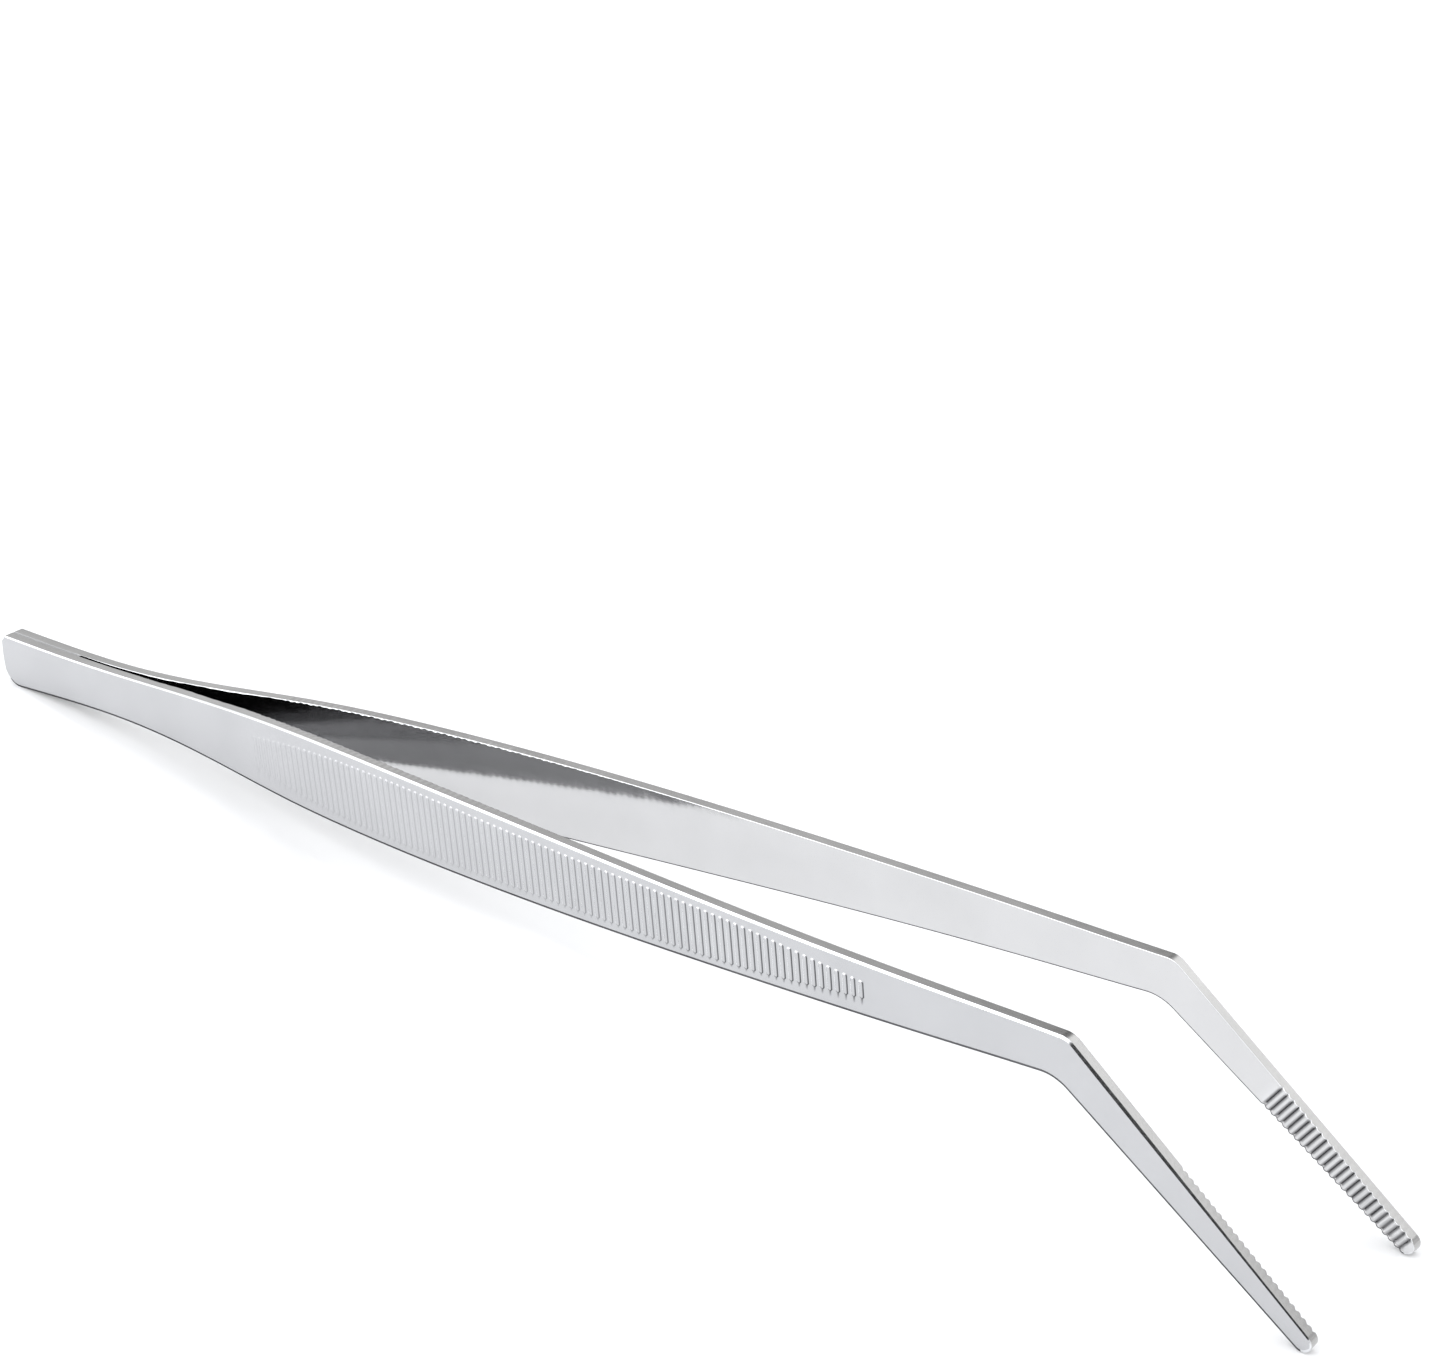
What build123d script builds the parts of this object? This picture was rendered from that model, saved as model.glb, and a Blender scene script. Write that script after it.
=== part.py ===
"""Aquascaping tweezers: two mirror-image spring-steel blades welded together at the butt.

Frame: millimetres, +Z up, standing as used on a bench: on both jaw tips and the lower corner
of the butt.  X runs from the butt (-X) to the tips (+X), Y = 0 is the plane between the blades.

Blade coordinates: u runs along the straight centre line from the butt, v across the blade in
its own plane, and w (the Y axis) sideways from the plane between the blades.
"""
from build123d import *
from math import asin, cos, radians, sin, tan
import os

os.makedirs("parts", exist_ok=True)

# ---------------------------------------------------------------- driving dimensions
SHEET = 1.8                # thickness of the blade sheet
STAND_ANGLE = 5.59         # rise of the straight part above the floor, degrees

BEND_U = 231.3             # where the jaw's centre line leaves the straight one
BEND_ANGLE = 39.5          # bend in the plane of the blade, degrees
BEND_TOP_RADIUS = 3.0
BEND_BOTTOM_RADIUS = 6.5
JAW_LENGTH = 45.3          # from the bend to the centre of the tip's round
JAW_HALF_WIDTH = 3.1       # at the bend
TIP_RADIUS = 1.45

BUTT_HALF_WIDTH = 4.7
BUTT_CHAMFER = 1.1         # upper corner of the butt
BUTT_RADIUS = 3.4          # lower corner of the butt
BUTT_CROWN = 0.35          # how far the end face bulges

# half width of the blade at stations along u: narrow neck, widest at the grip, slim shank
HALF_WIDTHS = [(30, 4.13), (52, 5.08), (75, 6.40), (100, 6.72), (140, 6.02), (180, 4.68)]

WELD_GAP = 0.5             # gap between the tails, bridged by the weld
WELD_LENGTH = 20.0
WELD_DEPTH = 1.6

# inner face of a blade seen from above, as (u, w), from the weld to the bend
BOW = [(34, 0.40), (50, 1.22), (75, 3.72), (105, 6.60), (140, 9.03), (175, 10.62), (210, 11.24)]
JAW_W = 11.26              # inner face at the bend
TIP_W = 11.80              # inner face at the tip

HINGE_U = 45.0             # line about which the free blade swings as it flexes
HINGE_SLIT = 0.1

TOOTH_COUNT = 24           # serrations across the inner face of a jaw
TOOTH_PITCH = 1.077
TOOTH_DEPTH = 0.28
TOOTH_MOUTH = 0.8          # width of a groove where it meets the inner face
TOOTH_CLEARANCE = 0.1      # how far the groove's cutter starts outside the metal
TOOTH_END_MARGIN = 1.0     # plain length left at the tip

OVERSIZE = 60.0            # longer than anything it cuts or trims
BUTT_OVERRUN = 2.0         # the plan profile runs past both ends of the outline
TIP_OVERRUN = 5.0

# ---------------------------------------------------------------- shared planes
s_sin = sin(radians(STAND_ANGLE))
s_cos = cos(radians(STAND_ANGLE))
JAW_DIR = (cos(radians(BEND_ANGLE)), -sin(radians(BEND_ANGLE)))
JAW_UP = (sin(radians(BEND_ANGLE)), cos(radians(BEND_ANGLE)))
TIP_U = BEND_U + JAW_LENGTH * JAW_DIR[0]
TIP_V = JAW_LENGTH * JAW_DIR[1]

# heights and lengths of the standing part, measured from the butt's centre
TIP_DROP = TIP_U * s_sin + TIP_V * s_cos - TIP_RADIUS
REACH = TIP_U * s_cos - TIP_V * s_sin + TIP_RADIUS
BUTT_REACH = BUTT_HALF_WIDTH * s_sin
ORIGIN = Vector((BUTT_REACH - REACH) / 2, 0, -TIP_DROP)

plan = Plane(origin=ORIGIN, x_dir=(s_cos, 0, s_sin), z_dir=(-s_sin, 0, s_cos))
side = Plane(origin=ORIGIN, x_dir=(s_cos, 0, s_sin), z_dir=(0, -1, 0))


def blade_point(u, v, w):
    """A point of the blade's own coordinates in the part's frame."""
    return ORIGIN + Vector(u * s_cos - v * s_sin, w, u * s_sin + v * s_cos)


# ---------------------------------------------------------------- outlines
def outline():
    """Face of one blade in its own plane, with the bend, the butt end and the round tip."""
    taper = asin((JAW_HALF_WIDTH - TIP_RADIUS) / JAW_LENGTH)
    corner = JAW_HALF_WIDTH * tan(radians(BEND_ANGLE / 2))
    bend_top = (BEND_U + corner, JAW_HALF_WIDTH)
    bend_bottom = (BEND_U - corner, -JAW_HALF_WIDTH)
    round_top = jaw_point(JAW_LENGTH + TIP_RADIUS * sin(taper), TIP_RADIUS * cos(taper))
    round_bottom = jaw_point(JAW_LENGTH + TIP_RADIUS * sin(taper), -TIP_RADIUS * cos(taper))
    tip = jaw_point(JAW_LENGTH + TIP_RADIUS, 0)
    butt_top = (BUTT_CHAMFER, BUTT_HALF_WIDTH)
    butt_end = (0, BUTT_HALF_WIDTH - BUTT_CHAMFER)
    butt_bottom = (0, -BUTT_HALF_WIDTH)
    lower = [(u, -v) for u, v in HALF_WIDTHS]
    with BuildSketch(side) as sketch:
        with BuildLine():
            Spline([butt_bottom] + lower + [bend_bottom])
            Line(bend_bottom, round_bottom)
            ThreePointArc(round_bottom, tip, round_top)
            Line(round_top, bend_top)
            Spline([bend_top] + HALF_WIDTHS[::-1] + [butt_top])
            Line(butt_top, butt_end)
            ThreePointArc(butt_end, (-BUTT_CROWN, 0), butt_bottom)
        make_face()
        fillet(corner_at(sketch, bend_top), BEND_TOP_RADIUS)
        fillet(corner_at(sketch, bend_bottom), BEND_BOTTOM_RADIUS)
        fillet(corner_at(sketch, butt_bottom), BUTT_RADIUS)
    return sketch.sketch


def jaw_point(along, across):
    """A point of the jaw in (u, v), from its distances along and across its centre line."""
    u = BEND_U + along * JAW_DIR[0] + across * JAW_UP[0]
    v = along * JAW_DIR[1] + across * JAW_UP[1]
    return (u, v)


def corner_at(sketch, point):
    """The vertex of an open sketch nearest to a point, both in the sketch's own coordinates."""
    return sketch.vertices().sort_by_distance(point)[0]


def bow_profile():
    """Plan sketch of the left blade's strip.  The outer face is the inner one moved outwards;
    the bow is so shallow that this keeps the sheet's thickness within 1%."""
    tail_w = WELD_GAP / 2
    jaw_slope = (TIP_W - JAW_W) / (TIP_U - BEND_U)
    end_u = TIP_U + TIP_OVERRUN
    end_w = JAW_W + jaw_slope * (end_u - BEND_U)
    with BuildSketch(plan) as sketch:
        with BuildLine():
            for w0 in (0, SHEET):
                knots = [(u, w + w0) for u, w in [(WELD_LENGTH, tail_w)] + BOW + [(BEND_U, JAW_W)]]
                Line((-BUTT_OVERRUN, tail_w + w0), knots[0])
                Spline(knots, tangents=[(1, 0), (1, jaw_slope)])
                Line(knots[-1], (end_u, end_w + w0))
            Line((-BUTT_OVERRUN, tail_w), (-BUTT_OVERRUN, tail_w + SHEET))
            Line((end_u, end_w), (end_u, end_w + SHEET))
        make_face()
    return sketch.sketch


blade_outline = outline()

with BuildPart() as blank:
    extrude(blade_outline, amount=OVERSIZE, both=True)


# ---------------------------------------------------------------- blades
def jaw_plane():
    """Plane whose x runs down the left jaw's inner face and whose y points out through it."""
    start = blade_point(BEND_U, 0, JAW_W)
    finish = blade_point(TIP_U, TIP_V, TIP_W)
    across = blade_point(*jaw_point(0, 1), 0) - blade_point(BEND_U, 0, 0)
    return Plane(origin=start, x_dir=finish - start, z_dir=across)


def flexure_plane(u):
    """Plane across the blade at a station, facing the tips."""
    return Plane(origin=blade_point(u, 0, 0), x_dir=(0, 1, 0), z_dir=(s_cos, 0, s_sin))


with BuildPart() as left_blade:
    extrude(bow_profile(), amount=OVERSIZE, both=True)
    add(blank.part, mode=Mode.INTERSECT)
    with BuildSketch(jaw_plane().offset(-OVERSIZE / 2)):
        mouth = TOOTH_MOUTH / 2 * (1 + TOOTH_CLEARANCE / TOOTH_DEPTH)
        groove = [(-mouth, -TOOTH_CLEARANCE), (mouth, -TOOTH_CLEARANCE), (0, TOOTH_DEPTH)]
        for k in range(TOOTH_COUNT):
            from_tip = TOOTH_END_MARGIN + (k + 0.5) * TOOTH_PITCH
            with Locations((JAW_LENGTH + TIP_RADIUS - from_tip, 0)):
                Polygon(*groove, align=None)
    extrude(amount=OVERSIZE, mode=Mode.SUBTRACT)

with BuildPart() as right_blade:
    add(mirror(left_blade.part, about=Plane.XZ))


def export_divided(blade, name):
    """Write one blade as its welded tail and its free arm, parted at the flexure line."""
    with BuildPart() as tail:
        add(blade.part)
        split(bisect_by=flexure_plane(HINGE_U - HINGE_SLIT), keep=Keep.BOTTOM)
    with BuildPart() as arm:
        add(blade.part)
        split(bisect_by=flexure_plane(HINGE_U), keep=Keep.TOP)
    for piece, kind in ((tail, "tail"), (arm, "arm")):
        piece.part.label = f"{name}_{kind}"
        export_step(piece.part, f"parts/{name}_{kind}.step")


export_divided(left_blade, "left")
export_divided(right_blade, "right")


# ---------------------------------------------------------------- weld beads
def weld_bead(name, low, high, inward):
    """Weld metal in the gap between the tails: what lies in a window of the side view, given
    by its corners in (u, v), and within the weld's depth of the rim that faces away from
    inward, a distance along v."""
    centre = ((low[0] + high[0]) / 2, (low[1] + high[1]) / 2)
    core = blank.part.translate(blade_point(0, inward, 0) - blade_point(0, 0, 0))
    with BuildPart() as bead:
        extrude(blade_outline, amount=WELD_GAP / 2, both=True)
        with BuildSketch(side.offset(-OVERSIZE / 2)):
            with Locations(centre):
                Rectangle(high[0] - low[0], high[1] - low[1])
        extrude(amount=OVERSIZE, mode=Mode.INTERSECT)
        if inward:
            add(core, mode=Mode.SUBTRACT)
    bead.part.label = name
    export_step(bead.part, f"parts/{name}.step")


weld_bead("weld_top", (WELD_DEPTH, 0), (WELD_LENGTH, OVERSIZE), -WELD_DEPTH)
weld_bead("weld_bottom", (WELD_DEPTH, -OVERSIZE), (WELD_LENGTH, 0), WELD_DEPTH)
weld_bead("weld_end", (-BUTT_OVERRUN, -OVERSIZE), (WELD_DEPTH, OVERSIZE), 0)
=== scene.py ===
"""Looks of the aquascaping tweezers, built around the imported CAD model.

Blade coordinates are the CAD's own, in millimetres: u runs along the straight part from the
butt, v across the blade in its own plane, and w sideways from the plane between the blades.
"""
import math

import bmesh
import bpy
import numpy as np
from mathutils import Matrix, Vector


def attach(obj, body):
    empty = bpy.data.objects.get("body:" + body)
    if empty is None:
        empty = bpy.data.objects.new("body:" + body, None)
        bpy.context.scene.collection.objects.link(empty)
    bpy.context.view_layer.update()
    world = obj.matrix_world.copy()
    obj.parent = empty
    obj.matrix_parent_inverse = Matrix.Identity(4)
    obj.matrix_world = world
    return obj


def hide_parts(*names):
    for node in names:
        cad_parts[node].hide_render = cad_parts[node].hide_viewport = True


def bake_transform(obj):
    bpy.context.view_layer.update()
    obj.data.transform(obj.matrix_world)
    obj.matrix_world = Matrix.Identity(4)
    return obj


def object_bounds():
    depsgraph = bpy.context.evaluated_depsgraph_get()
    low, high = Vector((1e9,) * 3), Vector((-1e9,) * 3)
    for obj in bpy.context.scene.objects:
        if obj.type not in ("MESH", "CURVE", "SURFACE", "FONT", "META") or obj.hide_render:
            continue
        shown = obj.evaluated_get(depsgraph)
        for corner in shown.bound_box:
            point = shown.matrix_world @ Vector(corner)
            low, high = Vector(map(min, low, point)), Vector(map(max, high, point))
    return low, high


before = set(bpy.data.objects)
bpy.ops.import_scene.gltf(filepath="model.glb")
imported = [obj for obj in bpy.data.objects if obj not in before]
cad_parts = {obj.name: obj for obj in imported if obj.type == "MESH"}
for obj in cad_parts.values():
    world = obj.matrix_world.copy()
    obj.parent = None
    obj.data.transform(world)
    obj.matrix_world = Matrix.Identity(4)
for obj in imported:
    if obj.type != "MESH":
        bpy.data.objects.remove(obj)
cad_low, cad_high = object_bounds()

MM = 0.001
MICRON = 0.000001

# ---------------------------------------------------------------- the CAD's driving dimensions
SHEET = 1.8
STAND_ANGLE = math.radians(5.59)
BEND_U = 231.3
BEND_ANGLE = math.radians(39.5)
BEND_TOP_RADIUS = 3.0
BEND_BOTTOM_RADIUS = 6.5
JAW_LENGTH = 45.3
JAW_HALF_WIDTH = 3.1
TIP_RADIUS = 1.45
BUTT_HALF_WIDTH = 4.7
BUTT_CHAMFER = 1.1
BUTT_RADIUS = 3.4
BUTT_CROWN = 0.35
HALF_WIDTHS = [(30, 4.13), (52, 5.08), (75, 6.40), (100, 6.72), (140, 6.02), (180, 4.68)]
WELD_GAP = 0.5
WELD_LENGTH = 20.0
WELD_DEPTH = 1.6
BOW = [(34, 0.40), (50, 1.22), (75, 3.72), (105, 6.60), (140, 9.03), (175, 10.62), (210, 11.24)]
JAW_W = 11.26
TIP_W = 11.80
TOOTH_COUNT = 24
TOOTH_PITCH = 1.077
TOOTH_DEPTH = 0.28
TOOTH_MOUTH = 0.8
TOOTH_END_MARGIN = 1.0

# ---------------------------------------------------------------- finer detail, only modelled here
RIB_COUNT = 95             # bars coined across the outer face
RIB_START = 69.5           # middle of the first one
RIB_PITCH = 1.38
RIB_RADIUS = 0.40          # half the width of a bar, and the radius of its ends
RIB_HEIGHT = 0.13
RIB_LEAST = 0.45           # share of that height before the bars are pressed deeper
RIB_FADE = (60.0, 185.0)   # where they are pressed deeper, towards the jaws
RIB_SHOULDER = 0.6         # share of the radius that is nearly flat
# where the bars end, as a share of the blade's half width, at stations along u
RIB_REACH = [(69, 0.47), (80, 0.64), (92, 0.74), (150, 0.74), (182, 0.66), (192, 0.48), (200, 0.32)]

RIPPLE = 0.0018            # size of the waves in which the bars show through on the inner face
LONG_RIPPLE = 3 * RIPPLE   # size of longer, uneven waves along with them
LONG_RATE = 0.8            # radians of those per millimetre
DRIFT = 2.0                # how far they drift to and fro, in radians, and at what rate
DRIFT_RATE = 0.23
RIPPLE_START = (RIB_START - 6, RIB_START + 12)  # stretch over which all these waves come in
RIPPLE_END = (190.0, 200.0)  # stretch over which they die out
RIPPLE_MARGIN = (0.75, 1.0)  # and the same towards the edges, in shares of the half width

BURR = 0.6                 # how much the coining enlarges the bevel of the inner edge, as a share
BURR_WAVES = [(0.6, 4.6, 0.0), (0.4, 1.7, 1.0)]  # its unevenness: size, rate and phase
BURR_START = (30.0, 44.0)  # stretches over which it comes in and dies out
BURR_END = (100.0, 160.0)

PLAIN_LIGHT_LEVEL = 0.2        # painted light: 0 is a painted highlight, 1 is painted shade, and this level is neither
FOOT_INSIDE = (0.62, 0.85)  # the crease round a bar's foot, in shares of the bar's radius
FOOT_OUTSIDE = (1.0, 1.2)
FLANK = (0.2, 0.7)         # how far to one side of a bar the painted highlight or painted shade of that flank comes in
SHADE_ROUND_END = 1.8    # how far painted shade reaches round a bar's lower end
HIGHLIGHT_ROUND_END = 0.4     # how far the painted highlight reaches round its upper end
HIGHLIGHT_START = (64.0, 90.0)  # stretch over which the painted highlight comes in
SHADE_TRACE = 0.10       # share of painted shade there is at the first bar
SHADE_EARLY = 0.18       # what the first bars add to it, over this stretch
EARLY_BARS = (66.0, 84.0)
LATER_BARS = (105.0, 193.0)  # the rest comes in over this one, slowly at first
LATER_CURVE = 1.4
CREST_LIGHT_LEVEL = 0.15       # painted light on the crests between the serrations: a slight painted highlight
CUT_SHADE_CURVE = 0.6    # exponent: painted shade deepens quickly with a serration's depth

OUTER_BEVEL = 0.28         # leg of the polished bevel between the outer face and the ground rim
BUTT_BEVEL = 0.20          # the same at the butt, at the start of the jaw and at the tip
JAW_BEVEL = 0.34
TIP_BEVEL = 0.18
OUTER_BEVEL_SLOPES = (40, 50)  # of the two facets that make it slightly crowned, degrees
BUTT_TO_SHANK = (10.0, 90.0)   # where it changes from one size to the next
SHANK_TO_JAW = (BEND_U - 4, BEND_U + 6)
LOWER_NORMALS = (0.2, 0.8)  # rise of the inward normals over which the lower edge begins
LOWER_RISE = 0.42          # the lower edge is eased far up the face and hardly into the rim
LOWER_DROP = 0.14
INNER_BEVEL = 0.07
INNER_BEVEL_SLOPES = (25, 65)
INNER_EASING = 2.0         # how much more the lower edge is eased on its inner side
RIM_LEAN = 0.04            # the rim is ground a little lower on its inner side
RIM_MIDDLE = (0.35, 0.45)  # share of that lean reached at this share of the sheet's thickness
FLUSH_UNTIL = 16.0         # over the weld the two rims are ground flush
CREASED_FROM = 30.0
LEAST_CREASE = 0.02        # keeps the rim's loops apart where they are flush

BEAD_SINK = 0.02           # how far the middle of the weld bead lies below the rims
BEAD_EDGE_SINK = 0.03      # how much further its edges do
BEAD_OVERLAP = 0.04        # how far it runs into each tail
SCALE_DEPTH = 0.012        # depth of the scales that the welding left on it
SCALE_RATE = 9.0           # radians of scale per millimetre of bead
SCALE_BEND = 1.7           # how far a scale is bent back at the bead's edges, radians
SHALLOWEST_SCALE = 0.4     # the depth swells and fades between this share and the whole
SWELL_RATE = 1.3
BEAD_PHASE = 1.1           # offset of the scales from one bead to the next, radians

# ---------------------------------------------------------------- fineness of the meshes
ROWS = 21                  # points across a face
CHAMFER_ROWS = 2           # of which on the butt's chamfer
ROW_DEPTHS = (0.62, RIB_RADIUS, 0.24, 0.14, 0.07, 0.0, -0.09)  # rows, inwards from a bar's end
RIB_STEPS = (-1.24, -1.0, -0.78, -0.57, -0.27, 0.27, 0.57, 0.78, 1.0, 1.24)  # in a bar's radii
ROUND_STEPS = 6            # points on each half of the butt's lower round
ROUND_MARGIN = 1.2         # from that round to the first station after it
TAIL_STEPS = 44            # points from there to the bars
SHANK_STEPS = 14           # from the bars to the bend, and from the bend to the serrations
BEND_STEPS = 12
END_FADE = 7.0             # how far the shape of each end carries into the faces
BEAD_SPACING = 0.14
BEAD_SECTION = (-1.0, -0.6, -0.2, 0.2, 0.6, 1.0)  # points across a bead, in half widths
SHARP_ANGLE = math.radians(32)
MERGE_DISTANCE = 0.0008
SHORTEST_EDGE = 0.0005

# ---------------------------------------------------------------- blade geometry
JAW_DIR = np.array([math.cos(BEND_ANGLE), -math.sin(BEND_ANGLE)])
JAW_UP = np.array([math.sin(BEND_ANGLE), math.cos(BEND_ANGLE)])
BEND_POINT = np.array([BEND_U, 0.0])
TIP_CENTRE = BEND_POINT + JAW_LENGTH * JAW_DIR
JAW_END = np.array([JAW_LENGTH, 0.0])  # centre of the tip's round, along and across the jaw
TIP_CORNER = math.radians(60)          # where the tip's round passes from the edges to the end
TAPER = math.asin((JAW_HALF_WIDTH - TIP_RADIUS) / JAW_LENGTH)
CORNER = JAW_HALF_WIDTH * math.tan(BEND_ANGLE / 2)
ALONG = np.array([math.cos(STAND_ANGLE), 0.0, math.sin(STAND_ANGLE)])
ACROSS = np.array([-math.sin(STAND_ANGLE), 0.0, math.cos(STAND_ANGLE)])
SIDEWAYS = np.array([0.0, 1.0, 0.0])

tip_from_origin = TIP_CENTRE[0] * ALONG + TIP_CENTRE[1] * ACROSS
ORIGIN = np.array([cad_high.x / MM - TIP_RADIUS - tip_from_origin[0], 0.0,
                   cad_low.z / MM + TIP_RADIUS - tip_from_origin[2]])


def to_frame(points, w):
    """Blade coordinates to the part's frame, in metres."""
    points = np.asarray(points, float)
    placed = points[..., :1] * ALONG + points[..., 1:] * ACROSS + np.asarray(w)[..., None] * SIDEWAYS
    return (ORIGIN + placed) * MM


def cubic_spline(knots, slopes=None):
    """Smooth curve through (x, y) knots; the end slopes are free where none are given."""
    x, y = np.array(knots, float).T
    step = np.diff(x)
    rise = np.diff(y) / step
    matrix = np.zeros((len(x), len(x)))
    target = np.zeros(len(x))
    for i in range(1, len(x) - 1):
        matrix[i, i - 1:i + 2] = step[i], 2 * (step[i - 1] + step[i]), step[i - 1]
        target[i] = 3 * (step[i] * rise[i - 1] + step[i - 1] * rise[i])
    if slopes:
        matrix[0, 0] = matrix[-1, -1] = 1
        target[0], target[-1] = slopes
    else:
        matrix[0, :2] = 2, 1
        matrix[-1, -2:] = 1, 2
        target[0], target[-1] = 3 * rise[0], 3 * rise[-1]
    slope = np.linalg.solve(matrix, target)

    def curve(t):
        i = np.clip(np.searchsorted(x, t) - 1, 0, len(x) - 2)
        s = (t - x[i]) / step[i]
        ends = (1 + 2 * s) * (1 - s) ** 2 * y[i] + s * s * (3 - 2 * s) * y[i + 1]
        return ends + s * (1 - s) * step[i] * ((1 - s) * slope[i] - s * slope[i + 1])

    return curve


def smooth_step(low, high, t):
    """0 below low, 1 above high, and eased between them."""
    s = np.clip((np.asarray(t, float) - low) / (high - low), 0, 1)
    return s * s * (3 - 2 * s)


jaw_slope = (TIP_W - JAW_W) / (TIP_CENTRE[0] - BEND_U)
bow_curve = cubic_spline([(WELD_LENGTH, WELD_GAP / 2)] + BOW + [(BEND_U, JAW_W)], (0, jaw_slope))
upper_start, upper_finish = (BUTT_CHAMFER, BUTT_HALF_WIDTH), (BEND_U + CORNER, JAW_HALF_WIDTH)
lower_start, lower_finish = (0, BUTT_HALF_WIDTH), (BEND_U - CORNER, JAW_HALF_WIDTH)
upper_edge = cubic_spline([upper_start] + HALF_WIDTHS + [upper_finish])
lower_edge = cubic_spline([lower_start] + HALF_WIDTHS + [lower_finish])
rib_reach = cubic_spline(RIB_REACH)


def inner_w(u):
    """Distance of the bare inner face from the plane between the blades."""
    bowed = bow_curve(np.clip(u, WELD_LENGTH, BEND_U))
    return np.where(u > BEND_U, JAW_W + jaw_slope * (u - BEND_U), bowed)


def jaw_point(along, across):
    """A point of the jaw, from its distances along and across the jaw's centre line."""
    return BEND_POINT + np.multiply.outer(along, JAW_DIR) + np.multiply.outer(across, JAW_UP)


def groove_depth(points):
    """Depth of the serrations cut straight across the jaw's inner face."""
    along = (points - BEND_POINT) @ JAW_DIR
    from_tip = JAW_LENGTH + TIP_RADIUS - TOOTH_END_MARGIN - along
    tooth = np.clip(np.floor(from_tip / TOOTH_PITCH), 0, TOOTH_COUNT - 1)
    off_centre = np.abs(from_tip - (tooth + 0.5) * TOOTH_PITCH)
    depth = TOOTH_DEPTH * np.clip(1 - off_centre / (TOOTH_MOUTH / 2), 0, 1)
    return np.where(points[..., 0] > BEND_U, depth, 0)


def rib_number(u):
    """Number of the bar nearest to a station."""
    return np.clip(np.round((u - RIB_START) / RIB_PITCH), 0, RIB_COUNT - 1)


def rib_end(u):
    """Height at which the bars end, above and below the blade's centre line."""
    held = np.clip(u, RIB_REACH[0][0], RIB_REACH[-1][0])
    return rib_reach(held) * upper_edge(np.clip(u, 0, BEND_U))


def rib_share(points):
    """Distance from the middle of the nearest bar, as a share of its radius."""
    u, v = points[..., 0], points[..., 1]
    centre = RIB_START + RIB_PITCH * rib_number(u)
    past_end = np.clip(np.abs(v) - (rib_end(centre) - RIB_RADIUS), 0, None)
    return np.hypot(u - centre, past_end) / RIB_RADIUS


def rib_height(points):
    """Height of the round-ended bars raised on the outer face."""
    growth = RIB_LEAST + (1 - RIB_LEAST) * smooth_step(*RIB_FADE, points[..., 0])
    return RIB_HEIGHT * growth * (1 - smooth_step(RIB_SHOULDER, 1, rib_share(points)))


def painted_shade_growth(u):
    """Share of painted shade by the bars: a trace at first, more over the first bars, and most of it
    coming in slowly towards the jaws."""
    early = SHADE_EARLY * smooth_step(*EARLY_BARS, u)
    later = (1 - SHADE_TRACE - SHADE_EARLY) * smooth_step(*LATER_BARS, u) ** LATER_CURVE
    return SHADE_TRACE + early + later


def rib_painted_light(points):
    """One flank and the upper end of each bar get a painted highlight; painted shade lies in
    the crease at the foot of the other flank and round the lower end."""
    u, v = points[..., 0], points[..., 1]
    centre = RIB_START + RIB_PITCH * rib_number(u)
    straight = rib_end(centre) - RIB_RADIUS
    below, above = np.clip(-v - straight, 0, None), np.clip(v - straight, 0, None)
    toward_shade = (u - centre + SHADE_ROUND_END * below - HIGHLIGHT_ROUND_END * above) / RIB_RADIUS
    share = rib_share(points)
    foot = smooth_step(*FOOT_INSIDE, share) * (1 - smooth_step(*FOOT_OUTSIDE, share))
    # painted shade at the foot of one flank and round the lower end, painted highlight on the other
    # flank and the upper end
    painted_shade = painted_shade_growth(u) * foot * smooth_step(*FLANK, toward_shade)
    painted_highlight = foot * smooth_step(*FLANK, -toward_shade) * smooth_step(*HIGHLIGHT_START, u)
    return PLAIN_LIGHT_LEVEL * (1 - painted_highlight) + (1 - PLAIN_LIGHT_LEVEL) * painted_shade


def groove_painted_light(points):
    """Painted shade in the serrations, and much brighter crests between them with a slight painted
    highlight.
    """
    along = (points - BEND_POINT) @ JAW_DIR
    serrated = along > JAW_LENGTH + TIP_RADIUS - TOOTH_END_MARGIN - TOOTH_COUNT * TOOTH_PITCH
    # painted shade that deepens with the serration's depth
    depth = (groove_depth(points) / TOOTH_DEPTH) ** CUT_SHADE_CURVE
    cut = CREST_LIGHT_LEVEL + (1 - CREST_LIGHT_LEVEL) * depth
    return np.where(serrated & (points[..., 0] > BEND_U), cut, PLAIN_LIGHT_LEVEL)


def ripple(points):
    """Faint waves on the inner face: the bars showing through, and longer uneven ones."""
    u, v = points[..., 0], points[..., 1]
    field = smooth_step(*RIPPLE_START, u) * (1 - smooth_step(*RIPPLE_END, u))
    inside = 1 - smooth_step(*RIPPLE_MARGIN, np.abs(v) / upper_edge(np.clip(u, 0, BEND_U)))
    from_bars = RIPPLE * np.cos(2 * math.pi * (u - RIB_START) / RIB_PITCH)
    uneven = LONG_RIPPLE * np.sin(LONG_RATE * u + DRIFT * np.sin(DRIFT_RATE * u))
    return field * inside * (from_bars + uneven)


# ---------------------------------------------------------------- the blade's outline as a grid
def fillet_arc(corner, way_in, way_out, radius, count):
    """Points of the round between two straight runs that meet at a corner."""
    way_in = way_in / np.hypot(*way_in)
    way_out = way_out / np.hypot(*way_out)
    turn = math.acos(np.clip(way_in @ way_out, -1, 1))
    start = corner - way_in * radius * math.tan(turn / 2)
    inward = way_out - way_in * (way_in @ way_out)
    inward = inward / np.hypot(*inward)
    angles = np.linspace(0, turn, count)
    sweep = np.multiply.outer(np.sin(angles), way_in) + np.multiply.outer(1 - np.cos(angles), inward)
    return start + radius * sweep


def butt_corner():
    """Centre of the large round at the butt's lower corner."""
    centre_v = BUTT_RADIUS - lower_edge(BUTT_RADIUS)
    return np.array([crown_u(centre_v) + BUTT_RADIUS, centre_v])


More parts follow.
